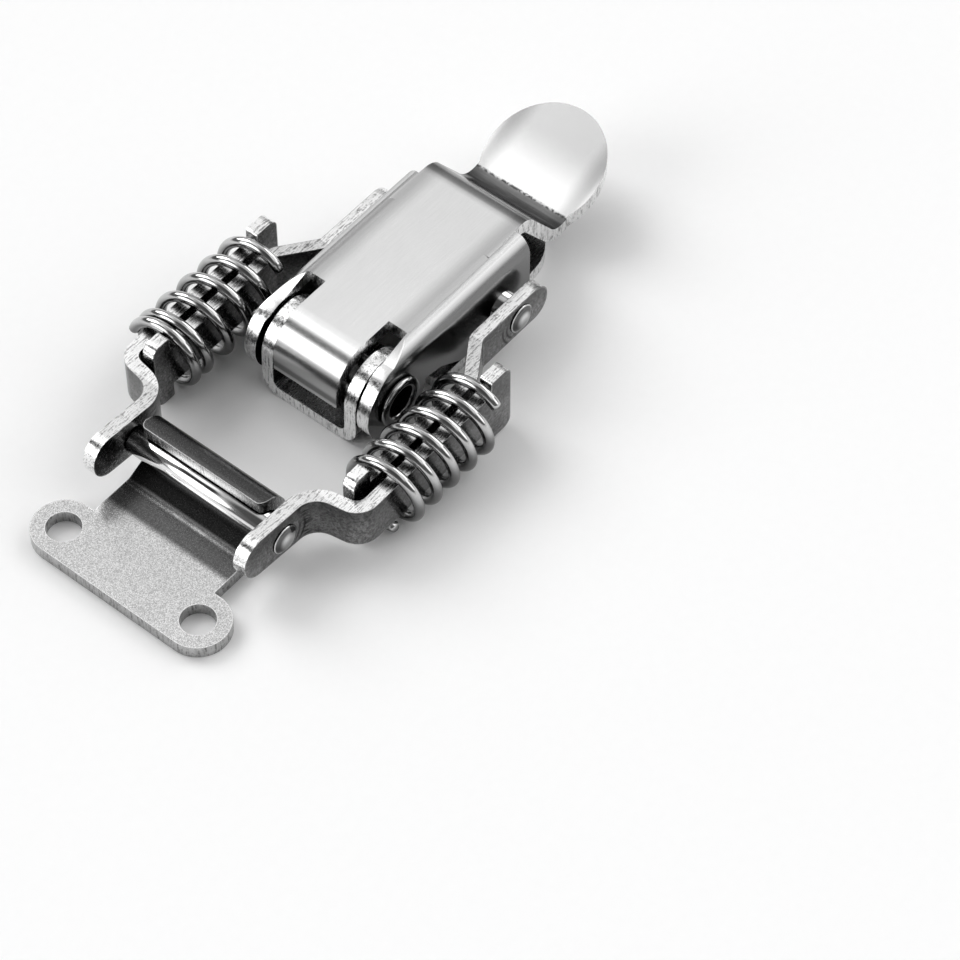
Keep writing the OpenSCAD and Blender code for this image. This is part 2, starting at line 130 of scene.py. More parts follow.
surfaceCut = {
    "samples": 6,               # of the nodes that look at the shape around a point
    "edgeTurn": (0.999, 0.9),   # cosines between which a turned normal counts as an edge
    "cornerReach": 1.4 * mm,    # how far a corner's shade reaches
    "cornerSpan": (0.15, 0.7),  # openness between which a corner clears
    "noiseSpan": (0.3, 0.7),    # where most of a noise's values lie
    "bumpDepth": 0.04 * mm,
    "markSpan": (0.8, 0.93),    # cosines between which a rivet's mark begins
    "breakSpan": (0.46, 0.54),  # noise values between which a stripe is broken
}


def newGroup(name, inputs, outputs):
    # a node group with named default inputs, and the sockets that give them inside it
    group = bpy.data.node_groups.new(name, "ShaderNodeTree")
    for label, default in inputs.items():
        kind = "NodeSocketVector" if isinstance(default, tuple) else "NodeSocketFloat"
        socket = group.interface.new_socket(label, in_out="INPUT", socket_type=kind)
        socket.default_value = default
    for label in outputs:
        group.interface.new_socket(label, in_out="OUTPUT", socket_type="NodeSocketFloat")
    return group, addNode(group, "NodeGroupInput", (0, 0)).outputs


def makeGrainGroup():
    # rolled grain: long fine lines along one way, specks between them, and broad clouds
    group, given = newGroup("steelGrain",
        {"Vector": (0, 0, 0), "Stretch": (400, 4000, 4000), "Speck Scale": 5000.0, "Cloud Scale": 160.0},
        ["Lines", "Specks", "Clouds"])
    stretched = addVectorMath(group, (1, 0), "MULTIPLY", given["Vector"], given["Stretch"])
    addNode(group, "NodeGroupOutput", (3, 0), {
        "Lines": addNoise(group, (2, 0), stretched, 1.0, detail=4.0, roughness=0.6),
        "Specks": addNoise(group, (2, 1), given["Vector"], given["Speck Scale"], detail=2.0, roughness=0.7),
        "Clouds": addNoise(group, (2, 2), given["Vector"], given["Cloud Scale"], detail=3.0, roughness=0.55)})
    return group


def makeEdgeWearAndHighlightGroup():
    # bright rounded edges, partly worn metal and partly a painted highlight: near an edge the bevelled normal
    # turns away from the face's own
    group, given = newGroup("edgeShine", {"Radius": 0.2 * mm, "Strength": 0.5}, ["Mask"])
    bevel = addNode(group, "ShaderNodeBevel", (1, 0), {"Radius": given["Radius"]},
        samples=surfaceCut["samples"])
    shape = addNode(group, "ShaderNodeNewGeometry", (1, 1))
    facing = addVectorMath(group, (2, 0), "DOT_PRODUCT", bevel.outputs["Normal"], shape.outputs["Normal"])
    turned = addRange(group, (3, 0), facing, *surfaceCut["edgeTurn"], smooth=False)
    mask = addMath(group, (4, 0), "MULTIPLY", turned, given["Strength"])
    addNode(group, "NodeGroupOutput", (5, 0), {"Mask": mask})
    return group


def makeShadeGroup():
    # painted shade: surfaces that face up keep their light colour, those that face sideways or down are
    # painted darker, and so are the tight corners between pieces, which an occlusion test finds
    group, given = newGroup("steelShade",
        {"From": 0.2, "To": 0.6, "Painted Side Shade": 0.4, "Painted Corner Shade": 0.5}, ["Tone"])
    place = addNode(group, "ShaderNodeTexCoord", (1, 0))
    split = addNode(group, "ShaderNodeSeparateXYZ", (2, 0), {0: place.outputs["Normal"]})
    facing = addRange(group, (3, 0), split.outputs["Z"], given["From"], given["To"], given["Painted Side Shade"])
    corner = addNode(group, "ShaderNodeAmbientOcclusion", (2, 1), {"Distance": surfaceCut["cornerReach"]},
        samples=surfaceCut["samples"])
    clear = addRange(group, (3, 1), corner.outputs["AO"], *surfaceCut["cornerSpan"], given["Painted Corner Shade"])
    tone = addMath(group, (4, 0), "MULTIPLY", facing, clear)
    addNode(group, "NodeGroupOutput", (5, 0), {"Tone": tone})
    return group


def addBand(tree, spot, distance, middle, halfWidth):
    # 1 where a distance is at the middle, down to 0 at half a width to either side
    column, row = spot
    gap = addMath(tree, spot, "SUBTRACT", distance, middle)
    off = addMath(tree, (column + 1, row), "ABSOLUTE", gap)
    return addRange(tree, (column + 2, row), off, 0.0, halfWidth, 1.0, 0.0)


def makeRivetMarkGroup():
    # a short arc pressed into the arm by the riveting tool: a band at one radius from the
    # rivet's centre, seen across the arm, where the way from the centre is near one side
    group, given = newGroup("rivetMark",
        {"Vector": (0, 0, 0), "Centre": (0, 0, 0), "Side": (1, 0, 0),
         "Radius": 2.6 * mm, "Half Width": 0.1 * mm},
        ["Mask"])
    away = addVectorMath(group, (1, 0), "SUBTRACT", given["Vector"], given["Centre"])
    flat = addVectorMath(group, (2, 0), "MULTIPLY", away, (1, 0, 1))
    distance = addVectorMath(group, (3, 0), "LENGTH", flat)
    unit = addVectorMath(group, (3, 1), "NORMALIZE", flat)
    along = addVectorMath(group, (4, 1), "DOT_PRODUCT", unit, given["Side"])
    reach = addRange(group, (5, 1), along, *surfaceCut["markSpan"], smooth=False)
    band = addBand(group, (4, 0), distance, given["Radius"], given["Half Width"])
    mask = addMath(group, (7, 0), "MULTIPLY", band, reach)
    addNode(group, "NodeGroupOutput", (8, 0), {"Mask": mask})
    return group


def makeStripeGroup():
    # a narrow strip across the piece, at one X, which stretched noise breaks up down to how
    # far it is filled
    group, given = newGroup("brokenStripe",
        {"Vector": (0, 0, 0), "Stretch": (1000, 1000, 1000), "Place": 0.0,
         "Half Width": 0.1 * mm, "Filled": 0.0},
        ["Mask"])
    split = addNode(group, "ShaderNodeSeparateXYZ", (1, 0), {0: given["Vector"]})
    band = addBand(group, (2, 0), split.outputs["X"], given["Place"], given["Half Width"])
    stretched = addVectorMath(group, (2, 1), "MULTIPLY", given["Vector"], given["Stretch"])
    noise = addNoise(group, (3, 1), stretched, 1.0, detail=2.0)
    broken = addRange(group, (4, 1), noise, *surfaceCut["breakSpan"], given["Filled"], smooth=False)
    mask = addMath(group, (5, 0), "MULTIPLY", band, broken)
    addNode(group, "NodeGroupOutput", (6, 0), {"Mask": mask})
    return group


grainGroup = makeGrainGroup()
edgeWearAndHighlightGroup = makeEdgeWearAndHighlightGroup()
shadeGroup = makeShadeGroup()
rivetMarkGroup = makeRivetMarkGroup()
stripeGroup = makeStripeGroup()


# steel

def addZone(tree, spot, place, source, axis, ends, level):
    # painted shade: the tone falls to a level while the position or normal, measured along an axis, is in a
    # range: it starts to fall, is down, starts to rise and is up again at the four ends
    start, down, end, up = ends
    column, row = spot
    along = addVectorMath(tree, spot, "DOT_PRODUCT", place.outputs[source], axis)
    fall = addRange(tree, (column + 1, row), along, start, down)
    rise = addRange(tree, (column + 2, row), along, up, end)
    both = addMath(tree, (column + 3, row), "MULTIPLY", fall, rise)
    return addRange(tree, (column + 4, row), both, 0.0, 1.0, 1.0, level, smooth=False)


def addMark(tree, spot, place, group, values, level):
    # the tone goes to a level under a mark
    inputs = dict(values, Vector=place.outputs["Object"])
    mark = addNode(tree, "ShaderNodeGroup", spot, inputs, node_tree=group)
    return addRange(tree, (spot[0] + 1, spot[1]), mark.outputs["Mask"], 0.0, 1.0, 1.0, level, smooth=False)


def makeSteel(name, finish):
    # stainless steel: grained colour and roughness, toned by clouds, by painted shade from facing, corners
    # and zones, and by marks, some of them painted shade and highlight, with lighter edges, partly worn and
    # partly a painted highlight, and a fine bump
    material = bpy.data.materials.new(name)
    material.use_nodes = True
    tree = material.node_tree
    tree.nodes.clear()
    place = addNode(tree, "ShaderNodeTexCoord", (0, 0))
    grain = addNode(tree, "ShaderNodeGroup", (1, 0),
        {"Vector": place.outputs["Object"], "Stretch": finish["stretch"],
         "Speck Scale": finish["speckScale"], "Cloud Scale": finish["cloudScale"]},
        node_tree=grainGroup).outputs
    shade = addNode(tree, "ShaderNodeGroup", (1, 1),
        {"From": finish["facing"][0], "To": finish["facing"][1],
         "Painted Side Shade": finish["paintedSideShade"], "Painted Corner Shade": finish["paintedCornerShade"]},
        node_tree=shadeGroup).outputs
    edgeWearAndHighlight = addNode(tree, "ShaderNodeGroup", (1, 2),
        {"Radius": finish["edgeRadius"], "Strength": finish["edgeShine"]},
        node_tree=edgeWearAndHighlightGroup).outputs
    noiseSpan = surfaceCut["noiseSpan"]
    texture = addMix(tree, (2, 0), "FLOAT", finish["speckShare"], grain["Lines"], grain["Specks"])
    tone = addRange(tree, (3, 0), texture, *finish["toneRange"], smooth=False)
    colour = addMix(tree, (4, 0), "RGBA", tone, finish["dark"], finish["light"])
    clouds = addRange(tree, (3, 1), grain["Clouds"], *noiseSpan, finish["cloudDark"], smooth=False)
    level = addMath(tree, (4, 1), "MULTIPLY", clouds, shade["Tone"])
    falls = [addZone(tree, (0, 4 + row), place, *zone) for row, zone in enumerate(finish["zones"])]
    row = 4 + len(falls)
    falls += [addMark(tree, (3, row + more), place, *mark) for more, mark in enumerate(finish["marks"])]
    for row, fall in enumerate(falls):
        level = addMath(tree, (5, 4 + row), "MULTIPLY", level, fall)
    colour = addMix(tree, (5, 0), "RGBA", 1.0, colour, level, "MULTIPLY")
    colour = addMix(tree, (6, 0), "RGBA", edgeWearAndHighlight["Mask"], colour, finish["edgeTone"])
    rough = addRange(tree, (6, 1), texture, *noiseSpan, *finish["rough"], smooth=False)
    bump = addNode(tree, "ShaderNodeBump", (6, 2),
        {"Height": texture, "Strength": finish["bump"], "Distance": surfaceCut["bumpDepth"]})
    shader = addNode(tree, "ShaderNodeBsdfPrincipled", (7, 0),
        {"Base Color": colour, "Metallic": 1.0, "Roughness": rough, "Normal": bump.outputs["Normal"]})
    addNode(tree, "ShaderNodeOutputMaterial", (8, 0), {"Surface": shader.outputs["BSDF"]})
    return material


toTail = (1, 0, 0)
toKeeper = (-1, 0, 0)
upward = (0, 0, 1)
bothSides = [(0, side, 0) for side in (-1, 1)]
far = (1000, 2000)   # past every place and every cosine, for a zone that doesn't end
rearRivet = 0        # places along X of the arms' rivets, and their height, in millimetres
frontRivet = -36.9
rivetHeight = 4.7


def placeZone(axis, ends, level):
    # a zone between places along an axis, in millimetres
    return "Object", axis, [end * mm for end in ends], level


def normalZone(axis, ends, level):
    # a zone between cosines of the angle that a surface makes with an axis
    return "Normal", axis, ends, level


def stripe(place, halfWidth, stretch, level, filled=0.0):
    # a stripe mark, placed in millimetres
    values = {"Place": place * mm, "Half Width": halfWidth * mm, "Stretch": stretch, "Filled": filled}
    return stripeGroup, values, level


def rivetMark(x, side, radius, halfWidth=0.24, level=0.12):
    # an arc beside the rivet at x, in millimetres
    values = {"Centre": (x * mm, 0, rivetHeight * mm), "Side": side,
        "Radius": radius * mm, "Half Width": halfWidth * mm}
    return rivetMarkGroup, values, level


# painted shade: the lever is painted darker over its rear edge and down the stamped drop, where streaks break
# the painted shade up, to a row of press marks at the foot of the tail; its shoulders, its sides and the
# tail's tip are painted a little darker than its top
leverEdgeShade = placeZone(toTail, (4.8, 6.2, 7.5, 7.9), 0.4)
tailDropShade = placeZone(toTail, (8.3, 8.8, 13.4, 13.9), 0.24)
tailTipShade = placeZone(toTail, (14.2, 20.5) + far, 0.6)
tailShadeStreaks = stripe(11.0, 3.2, (3600, 260, 3600), 0.55)
tailMarks = stripe(13.6, 0.26, (2600, 2600, 10), 0.12)
leverShoulderShade = [placeZone(side, (3.8, 5.9, 6.1, 7.0), 0.66) for side in bothSides]
leverSideShade = [normalZone(side, (0.35, 0.85) + far, 0.46) for side in bothSides]
# a painted dark band, painted shade, runs across the curl of the nose, between these heights on its front
noseFront = -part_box("lever")[0].x / mm
noseFootShade = placeZone((-1, 0, -1), [noseFront - height for height in (6.9, 6.2, 5.8, 5.4)], 0.34)
# the keeper is painted dark with painted shade up to its bend, and its ramp too, and the bend carries a
# painted highlight line
keeperPaintedShade = placeZone(toTail, (-43.2, -42.2) + far, 0.2)
keeperRampShade = normalZone(toKeeper, (0.12, 0.36) + far, 0.4)
keeperBendHighlight = stripe(-39.85, 0.34, (10, 300, 10), 4.6, filled=0.6)
# riveting marks beside the arms' rivets and creases where the front arms are bent, and painted shade that
# darkens the arms towards their tops
armMarks = [rivetMark(rearRivet, (-0.95, 0, -0.3), radius) for radius in (2.3, 2.95)]
armMarks += [rivetMark(frontRivet, (0.95, 0, -0.3), radius) for radius in (2.3, 2.95)]
armMarks += [stripe(-33.9, 1.0, (400, 400, 5200), 0.25)]
armTopShade = placeZone(upward, (3.5, 7.2) + far, 0.5)
# a riveted head is painted dark round its dome, as painted shade
headRingShade = [normalZone(side, (0.3, 0.6, 0.9, 0.985), 0.15) for side in bothSides]

satin = dict(
    stretch=(300, 6500, 6500), speckScale=7000.0, speckShare=0.5, cloudScale=90.0, cloudDark=0.95,
    toneRange=(0.32, 0.68), dark=grey(0.74), light=grey(0.84), rough=(0.18, 0.28), bump=0.025,
    edgeRadius=0.22 * mm, edgeShine=0.8, edgeTone=grey(0.93),
    facing=(0.2, 0.6), paintedSideShade=0.32, paintedCornerShade=0.35, zones=[], marks=[])
shear = dict(satin,
    speckScale=3600.0, speckShare=0.3, cloudScale=700.0, cloudDark=0.9,
    toneRange=(0.38, 0.5), dark=grey(0.3), light=grey(0.97), rough=(0.15, 0.32), bump=0.2,
    edgeShine=0.0, paintedSideShade=0.95, paintedCornerShade=0.42)
finishes = {
    "lever": dict(satin, edgeShine=0.0, facing=(0.45, 0.88), paintedSideShade=0.55,
        zones=[leverEdgeShade, tailDropShade, tailTipShade, noseFootShade] + leverShoulderShade + leverSideShade,
        marks=[tailShadeStreaks, tailMarks]),
    "base": dict(satin, dark=grey(0.42), light=grey(0.62), cloudDark=0.85, rough=(0.2, 0.34)),
    "keeper": dict(satin, stretch=(6400, 6400, 6400), speckScale=9000.0, speckShare=0.7, cloudDark=0.88,
        toneRange=(0.4, 0.6), dark=grey(0.38), light=grey(0.8), rough=(0.2, 0.3), bump=0.08,
        edgeShine=1.0, zones=[keeperPaintedShade, keeperRampShade], marks=[keeperBendHighlight]),
    "arm": dict(satin, stretch=(2200, 2200, 2200), speckScale=4200.0, cloudScale=260.0, cloudDark=0.6,
        toneRange=(0.4, 0.6), dark=grey(0.32), light=grey(0.86), rough=(0.16, 0.32), bump=0.1,
        paintedSideShade=0.42, zones=[armTopShade], marks=armMarks),
    # the rims' dark colour is painted shade that outlines every rounded edge
    "rim": dict(satin, toneRange=(0.4, 0.66), dark=grey(0.04), light=grey(0.3), rough=(0.4, 0.6),
        edgeShine=0.0, facing=(-2.0, -1.0), paintedCornerShade=0.6),
    "shearUp": dict(shear, stretch=(4200, 4200, 600)),
    "shearKeeper": dict(shear, stretch=(4200, 4200, 600), light=grey(0.9), paintedSideShade=0.6),
    "shearAcross": dict(shear, stretch=(800, 5200, 5200)),
    "polish": dict(satin, stretch=(900, 300, 300), speckShare=0.3, cloudDark=0.9,
        dark=grey(0.72), light=grey(0.94), rough=(0.06, 0.14), bump=0.04,
        facing=(-0.2, 0.4), paintedSideShade=0.5, zones=headRingShade),
    "wire": dict(satin, stretch=(500, 500, 500), speckShare=0.4, cloudDark=0.85,
        dark=grey(0.48), light=grey(0.7), rough=(0.08, 0.16), bump=0.05,
        facing=(-0.1, 0.6), paintedSideShade=0.3),
    "rivet": dict(satin, stretch=(700, 700, 700), speckShare=0.4, cloudDark=0.8,
        dark=grey(0.4), light=grey(0.6), rough=(0.1, 0.2), bump=0.08,
        facing=(-0.1, 0.6), paintedSideShade=0.4),
}
steels = {name: makeSteel(name + "Steel", finish) for name, finish in finishes.items()}
print("materials made:", len(steels))


# sheet pieces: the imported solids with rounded, sheared edges

sheetCut = {
    "thickness": 1.5 * mm,
    "tolerance": 0.06 * mm,             # of the thickness, in a rolled face
    "weld": 0.002 * mm,
    "lift": 0.001 * mm,                 # a ray starts this far under the face
    "flatAngle": math.radians(0.6),     # faces that meet flatter than this are joined
    "sharpAngle": math.radians(28),     # edges sharper than this are rounded
    "edgeRound": 0.14 * mm,
    "edgeSteps": 3,
    "faceWeight": 70,                   # of the large faces in the shaded normals
}


def dressSheet(nodeName, finish, edgeFinish, rolledUp):
    # a welded copy of the imported solid; a face whose far side mostly lies a sheet's thickness away is
    # rolled surface, as is one that faces up more than a limit, any other face is a sheared edge, and the
    # rounding between is a rim, whose dark colour is painted shade that outlines the edges
    mesh = nodes[nodeName].data.copy()
    mesh.materials.clear()
    for steelName in (finish, edgeFinish, "rim"):
        mesh.materials.append(steels[steelName])
    work = bmesh.new()
    work.from_mesh(mesh)
    bmesh.ops.remove_doubles(work, verts=work.verts, dist=sheetCut["weld"])
    bmesh.ops.dissolve_limit(work, angle_limit=sheetCut["flatAngle"], verts=work.verts, edges=work.edges)
    tree = BVHTree.FromBMesh(work)
    share = dict.fromkeys(work.faces, 0.0)
    for loops in work.calc_loop_triangles():
        face = loops[0].face
        a, b, c = (loop.vert.co for loop in loops)
        hit = tree.ray_cast((a + b + c) / 3 - face.normal * sheetCut["lift"], -face.normal)
        rolled = hit[0] is not None and abs(hit[3] - sheetCut["thickness"]) < sheetCut["tolerance"]
        area = (b - a).cross(c - a).length
        share[face] += area if rolled else -area
    for face in work.faces:
        face.smooth = True
        face.material_index = 0 if share[face] > 0 or face.normal.z > rolledUp else 1
    work.to_mesh(mesh)
    work.free()
    piece = bpy.data.objects.new(nodeName + "_sheet", mesh)
    bpy.context.scene.collection.objects.link(piece)
    bevel = piece.modifiers.new("edgeRound", "BEVEL")
    bevel.width = sheetCut["edgeRound"]
    bevel.segments = sheetCut["edgeSteps"]
    bevel.limit_method = "ANGLE"
    bevel.angle_limit = sheetCut["sharpAngle"]
    bevel.material = 2
    normals = piece.modifiers.new("flatFaces", "WEIGHTED_NORMAL")
    normals.weight = sheetCut["faceWeight"]
    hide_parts(nodeName)
    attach(piece, bodyOf[nodeName])
    return piece


never = 2.0   # no normal reaches this height, so thickness alone decides
# each sheet's finish, its edges' finish, the height of the normal past which it is rolled, and
# its slot
sheetFinish = {
    "base_plate": ("base", "shearUp", never, "base_steel"),
    "keeper_plate": ("keeper", "shearKeeper", never, "keeper_steel"),
    "lever": ("lever", "shearUp", 0.9, "lever_steel"),
    "rear_arm_left": ("arm", "shearAcross", never, "arm_steel"),
    "rear_arm_right": ("arm", "shearAcross", never, "arm_steel"),
    "front_arm_left": ("arm", "shearAcross", never, "arm_steel"),
    "front_arm_right": ("arm", "shearAcross", never, "arm_steel"),
}
for nodeName, (finish, edgeFinish, rolledUp, slotName) in sheetFinish.items():
    dressSheet(nodeName, finish, edgeFinish, rolledUp)
print("sheet pieces dressed:", len(sheetFinish))


# numpy surfaces

def gridPiece(name, points, material, body=None, closeU=False):
    # a grid of points, rows along u and columns round v; v closes on itself, and u either does
    # too or has a cap at each end
    rows, columns = points.shape[:2]
    u, v = np.meshgrid(np.arange(rows if closeU else rows - 1), np.arange(columns), indexing="ij")
    u2, v2 = (u + 1) % rows, (v + 1) % columns
    corners = [u * columns + v, u * columns + v2, u2 * columns + v2, u2 * columns + v]
    faces = np.stack(corners, -1).reshape(-1, 4).tolist()
    if not closeU:
        faces.append(list(range(columns))[::-1])
        faces.append(list(range((rows - 1) * columns, rows * columns)))
    mesh = bpy.data.meshes.new(name)
    mesh.from_pydata(points.reshape(-1, 3).tolist(), [], faces)
    mesh.update()
    mesh.polygons.foreach_set("use_smooth", np.ones(len(faces), bool))
    work = bmesh.new()
    work.from_mesh(mesh)
    bmesh.ops.recalc_face_normals(work, faces=work.faces)
    work.to_mesh(mesh)
    work.free()
    mesh.materials.append(material)
    piece = bpy.data.objects.new(name, mesh)
    bpy.context.scene.collection.objects.link(piece)
    if body:
        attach(piece, body)
    return piece


springCut = {
    "wire": 1.2 * mm,
    "closeRise": 1.35 * mm,   # rise of a turn that lies close to the next
    "stepsPerTurn": 72,
    "sides": 24,
    "endRadius": 0.8,         # share of the wire's radius at the cut ends' rims
    "endReach": 0.25,         # and how far the cut ends stand out, as a share of it
}
# turns from the top, towards the right, where the wire begins, opens out, closes and ends
springTurns = {
    "spring_left": (0.80, 2.0, 6.0, 6.15),
    "spring_right": (0.42, 1.0, 6.0, 6.14),
}


def makeSpring(nodeName, finish):
    # wire centre at angle a from the top: radius times (-sin a, cos a) across, and a rise that is
    # small in the close turns and even between them; a circle is carried square to the wire
    lo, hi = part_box(nodeName)
    wire = springCut["wire"] / 2
    radius = min(hi.y - lo.y, hi.z - lo.z) / 2 - wire
    midY, midZ = (lo.y + hi.y) / 2, (lo.z + hi.z) / 2
    begin, opens, closes, end = springTurns[nodeName]
    turn = np.linspace(begin, end, int((end - begin) * springCut["stepsPerTurn"]) + 1)
    close = springCut["closeRise"]
    pitch = (hi.x - lo.x - 2 * wire - close * (opens - begin + end - closes)) / (closes - opens)
    rise = close * (np.minimum(turn, opens) - begin + np.maximum(turn - closes, 0))
    rise = lo.x + wire + rise + pitch * (np.clip(turn, opens, closes) - opens)
    angle = 2 * math.pi * turn
    centre = np.stack([rise, midY - radius * np.sin(angle), midZ + radius * np.cos(angle)], -1)
    tangent = np.gradient(centre, axis=0)
    tangent /= np.linalg.norm(tangent, axis=1, keepdims=True)
    outward = np.stack([np.zeros_like(angle), -np.sin(angle), np.cos(angle)], -1)
    side = np.cross(tangent, outward)
    side /= np.linalg.norm(side, axis=1, keepdims=True)
    outward = np.cross(side, tangent)
    around = np.linspace(0, 2 * math.pi, springCut["sides"], endpoint=False)[None, :, None]
    ring = np.cos(around) * outward[:, None] + np.sin(around) * side[:, None]
    points = centre[:, None] + wire * ring
    reach, rim = springCut["endReach"] * wire, springCut["endRadius"] * wire
    first = centre[0] - reach * tangent[0] + rim * ring[0]
    last = centre[-1] + reach * tangent[-1] + rim * ring[-1]
    points = np.concatenate([first[None], points, last[None]])
    points[..., 0] = np.clip(points[..., 0], lo.x, hi.x)
    piece = gridPiece(nodeName + "_coil", points, steels[finish])
    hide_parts(nodeName)
    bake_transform(piece)


for nodeName in springTurns:
    makeSpring(nodeName, "wire")
print("springs wound:", len(springTurns))

turnSteps = 96   # round a turned piece


def turnedPiece(nodeName, name, profile, finish, closed=False):
    # a profile of (y, radius) pairs turned about the node's own axis along Y: x and z are the
    # axis's own plus the radius times the angle's cosine and sine
    lo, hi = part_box(nodeName)
    midX, midZ = (lo.x + hi.x) / 2, (lo.z + hi.z) / 2
    angle = np.linspace(0, 2 * math.pi, turnSteps, endpoint=False)[None]
    y, radius = np.array(profile, float).T[..., None]
    points = np.stack([
        midX + radius * np.cos(angle),
        np.repeat(y, turnSteps, 1),
        midZ + radius * np.sin(angle)], -1)
    piece = gridPiece(name, points, steels[finish], bodyOf[nodeName], closeU=closed)
    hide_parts(nodeName)


pinCut = {
    "armWidth": 1.6 * mm,     # an arm's sheet with the play on both sides
    "headRadius": 1.7 * mm,
    "headHeight": 0.6 * mm,
    "rim": 0.12 * mm,         # width of the eased corners
    "rimRise": 0.048 * mm,    # of the head's eased corner
    "domeShare": 0.93,        # of the head's radius that is domed
    "tipAngle": 0.4,          # degrees from the axis at which the dome is closed flat
    "domeSteps": 12,
}
# radii of each bar's body and of its ends, which the arms hold
pinRadii = {
    "crossbar": (1.5 * mm, 1.1 * mm),
    "arm_pin": (1.8 * mm, 1.3 * mm),
}


def makePin(nodeName, bodyRadius, endRadius):
    # a stepped bar: shaft, riveted end and low dome, mirrored about the middle
    lo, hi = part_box(nodeName)
    headRadius, headHeight, rim = pinCut["headRadius"], pinCut["headHeight"], pinCut["rim"]
    tip = hi.y
    head = tip - headHeight
    shoulder = head - pinCut["armWidth"]
    domeR = (headRadius ** 2 + headHeight ** 2) / (2 * headHeight)
    reach = math.degrees(math.asin(headRadius / domeR))
    dome = np.radians(np.linspace(reach * pinCut["domeShare"], pinCut["tipAngle"], pinCut["domeSteps"]))
    half = [(0, bodyRadius), (shoulder - rim, bodyRadius), (shoulder, bodyRadius - rim)]
    half += [(shoulder, endRadius), (head, endRadius)]
    half += [(head, headRadius - rim), (head + pinCut["rimRise"], headRadius)]
    half += [(tip - domeR + domeR * math.cos(t), domeR * math.sin(t)) for t in dome]
    profile = [(-y, r) for y, r in half[:0:-1]] + half
    turnedPiece(nodeName, nodeName + "_bar", profile, "polish")


for nodeName, (bodyRadius, endRadius) in pinRadii.items():
    makePin(nodeName, bodyRadius, endRadius)
print("pins turned:", len(pinRadii))

tubeCut = {
    "bore": 1.8 * mm,
    "shank": 2.3 * mm,
    "rim": 2.9 * mm,
    "rimThick": 0.65 * mm,
    "rollSteps": 12,
    "mouth": 0.45 * mm,   # radius of the bore's flared mouth
    "mouthSteps": 10,
}


def arc(centreY, centreR, radius, start, end, count):
    # (y, r) points on an arc, from one angle in degrees to another
    a = np.radians(np.linspace(start, end, count))
    return [(centreY + radius * math.sin(t), centreR + radius * math.cos(t)) for t in a]


def makeTube(nodeName):
    # the hollow rivet: a tube whose ends roll outward into rounded rims
    lo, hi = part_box(nodeName)
    tip = hi.y
    seat = tip - tubeCut["rimThick"]
    roll = tubeCut["rimThick"] / 2
    mouth = tubeCut["mouth"]
    half = [(0, tubeCut["shank"]), (seat, tubeCut["shank"])]
    half += arc(seat + roll, tubeCut["rim"] - roll, roll, -90, 90, tubeCut["rollSteps"])
    half += arc(tip - mouth, tubeCut["bore"] + mouth, mouth, 90, 180, tubeCut["mouthSteps"])
    half += [(0, tubeCut["bore"])]
    profile = half + [(-y, r) for y, r in half[-2:0:-1]]
    turnedPiece(nodeName, nodeName + "_tube", profile, "rivet", closed=True)


makeTube("pivot_rivet")
print("hollow rivet rolled")


# floor, light and camera

floorCut = {
    "size": 12.0,
    "gap": 0.01 * mm,    # under the latch
    "tone": 0.93,
    "fleck": 0.01,       # how far the paper's tone wanders
    "fibreScale": 900.0,
    "rough": 0.9,
}
roomCut = {
    # brightness at heights of the direction, as the sine of its elevation
    "wallTones": [(0.1, 0.12), (0.6, 0.14), (0.78, 1.15), (0.86, 1.05), (1.0, 0.5)],
    "horizonTone": 0.85,
    "horizonTop": (0.14, 0.09),   # heights between which the pale horizon begins
}
# broad soft patches of the room: direction, inner and outer angle, brightness
roomPatches = {
    "ceilingGap": ((0.51, -0.15, 0.85), 6, 14, 0.45),
    "ceilingDark": ((-0.42, 0.44, 0.79), 11, 19, 0.03),
    "viewerDark": ((-0.50, -0.30, 0.81), 18, 34, 0.08),
    "ceilingBright": ((-0.07, 0.42, 0.90), 5, 15, 1.5),
    "screenFront": ((-0.80, 0.44, 0.40), 12, 22, 1.9),
    "screenRight": ((0.48, -0.76, 0.44), 12, 24, 1.9),
    "wallBehind": ((0.66, 0.60, 0.40), 8, 24, 0.6),
}
# soft lamps far away: direction, angle across, strength
lamps = {
    "lampLeft": ((0.05, 0.78, 0.61), 36, 1.4),
    "lampBehind": ((0.85, -0.20, 0.55), 36, 0.8),
    "lampFront": ((-0.80, 0.40, 0.45), 40, 0.5),
}


def makeFloor():
    # a plain pale sheet of paper just under the latch
    mesh = bpy.data.meshes.new("floor")
    half = floorCut["size"] / 2
    low = cadBounds[0].z - floorCut["gap"]
    corners = [(-half, -half, low), (half, -half, low), (half, half, low), (-half, half, low)]
    mesh.from_pydata(corners, [], [(0, 1, 2, 3)])
    floor = bpy.data.objects.new("floor", mesh)
    bpy.context.scene.collection.objects.link(floor)
    material = bpy.data.materials.new("floorPaper")
    material.use_nodes = True
    tree = material.node_tree
    tree.nodes.clear()
    place = addNode(tree, "ShaderNodeTexCoord", (0, 0))
    fibre = addNoise(tree, (1, 0), place.outputs["Object"], floorCut["fibreScale"], detail=3.0)
    darkest, lightest = floorCut["tone"] - floorCut["fleck"], floorCut["tone"] + floorCut["fleck"]
    tone = addRange(tree, (2, 0), fibre, 0.0, 1.0, darkest, lightest, smooth=False)
    paper = addNode(tree, "ShaderNodeBsdfPrincipled", (3, 0),
        {"Base Color": tone, "Roughness": floorCut["rough"]})
    addNode(tree, "ShaderNodeOutputMaterial", (4, 0), {"Surface": paper.outputs["BSDF"]})
    mesh.materials.append(material)


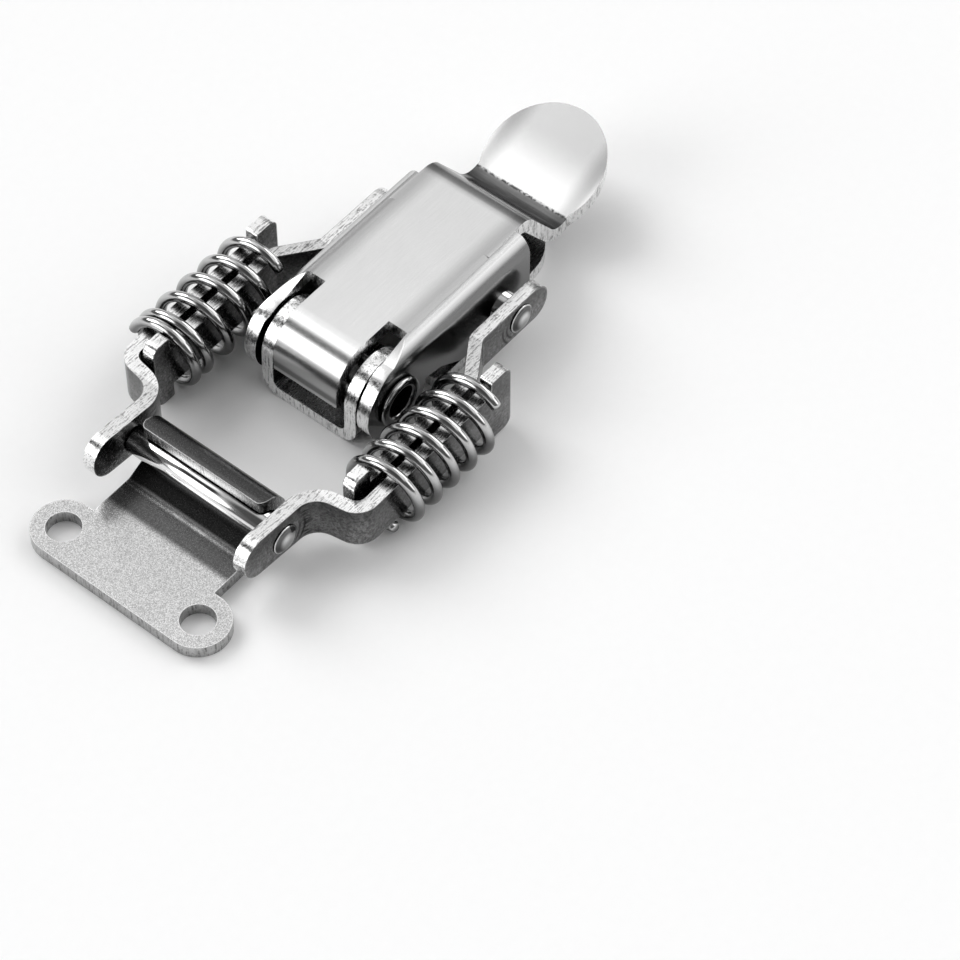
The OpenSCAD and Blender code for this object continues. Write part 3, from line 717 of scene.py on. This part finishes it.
def makeWorld():
    # a pale studio with dark walls and bright screens, which the steel shows
    world = bpy.data.worlds.new("studioRoom")
    bpy.context.scene.world = world
    world.use_nodes = True
    tree = world.node_tree
    tree.nodes.clear()
    way = addNode(tree, "ShaderNodeTexCoord", (0, 0)).outputs["Generated"]
    height = addNode(tree, "ShaderNodeSeparateXYZ", (1, 0), {0: way}).outputs["Z"]
    ramp = addNode(tree, "ShaderNodeValToRGB", (2, 0), {"Fac": height})
    elements = ramp.color_ramp.elements
    while len(elements) < len(roomCut["wallTones"]):
        elements.new(0.5)
    for element, (position, value) in zip(elements, roomCut["wallTones"]):
        element.position = position
        element.color = grey(value)
    tone = ramp.outputs["Color"]
    column = 3
    for middle, inner, outer, value in roomPatches.values():
        nearness = addVectorMath(tree, (column, 2), "DOT_PRODUCT", way, Vector(middle).normalized())
        rim, core = math.cos(math.radians(outer)), math.cos(math.radians(inner))
        mask = addRange(tree, (column, 1), nearness, rim, core)
        tone = addMix(tree, (column, 0), "FLOAT", mask, tone, value)
        column += 1
    low = addRange(tree, (column, 1), height, *roomCut["horizonTop"])
    tone = addMix(tree, (column, 0), "FLOAT", low, tone, roomCut["horizonTone"])
    room = addNode(tree, "ShaderNodeBackground", (column + 1, 0), {"Color": tone})
    addNode(tree, "ShaderNodeOutputWorld", (column + 2, 0), {"Surface": room.outputs["Background"]})


def addLamp(name, way, across, strength):
    # a far soft lamp, so that it lights the whole floor evenly
    lamp = bpy.data.lights.new(name, "SUN")
    lamp.angle = math.radians(across)
    lamp.energy = strength
    holder = bpy.data.objects.new(name, lamp)
    bpy.context.scene.collection.objects.link(holder)
    holder.location = way
    holder.rotation_mode = "QUATERNION"
    holder.rotation_quaternion = Vector(way).to_track_quat("Z", "Y")


cameraView = {
    "place": (-0.1938, -0.1638, 0.2967),
    "azimuth": 50.75,     # degrees round from the side view
    "elevation": 52.3,    # degrees looking down
    "lens": 138.75,
    "sensor": 36.0,
    "near": 0.01,
}


def makeCamera():
    # the photograph's view
    turn, tilt = math.radians(cameraView["azimuth"]), math.radians(cameraView["elevation"])
    forward = Vector((math.sin(turn) * math.cos(tilt), math.cos(turn) * math.cos(tilt), -math.sin(tilt)))
    camera = bpy.data.cameras.new("camera")
    camera.lens = cameraView["lens"]
    camera.sensor_width = cameraView["sensor"]
    camera.clip_start = cameraView["near"]
    holder = bpy.data.objects.new("camera", camera)
    bpy.context.scene.collection.objects.link(holder)
    holder.location = cameraView["place"]
    holder.rotation_mode = "QUATERNION"
    holder.rotation_quaternion = forward.to_track_quat("-Z", "Y")
    bpy.context.scene.camera = holder


makeFloor()
makeWorld()
for name, (way, across, strength) in lamps.items():
    addLamp(name, way, across, strength)
makeCamera()
bpy.context.scene.view_settings.view_transform = "Standard"
print("studio set")

bpy.context.view_layer.update()
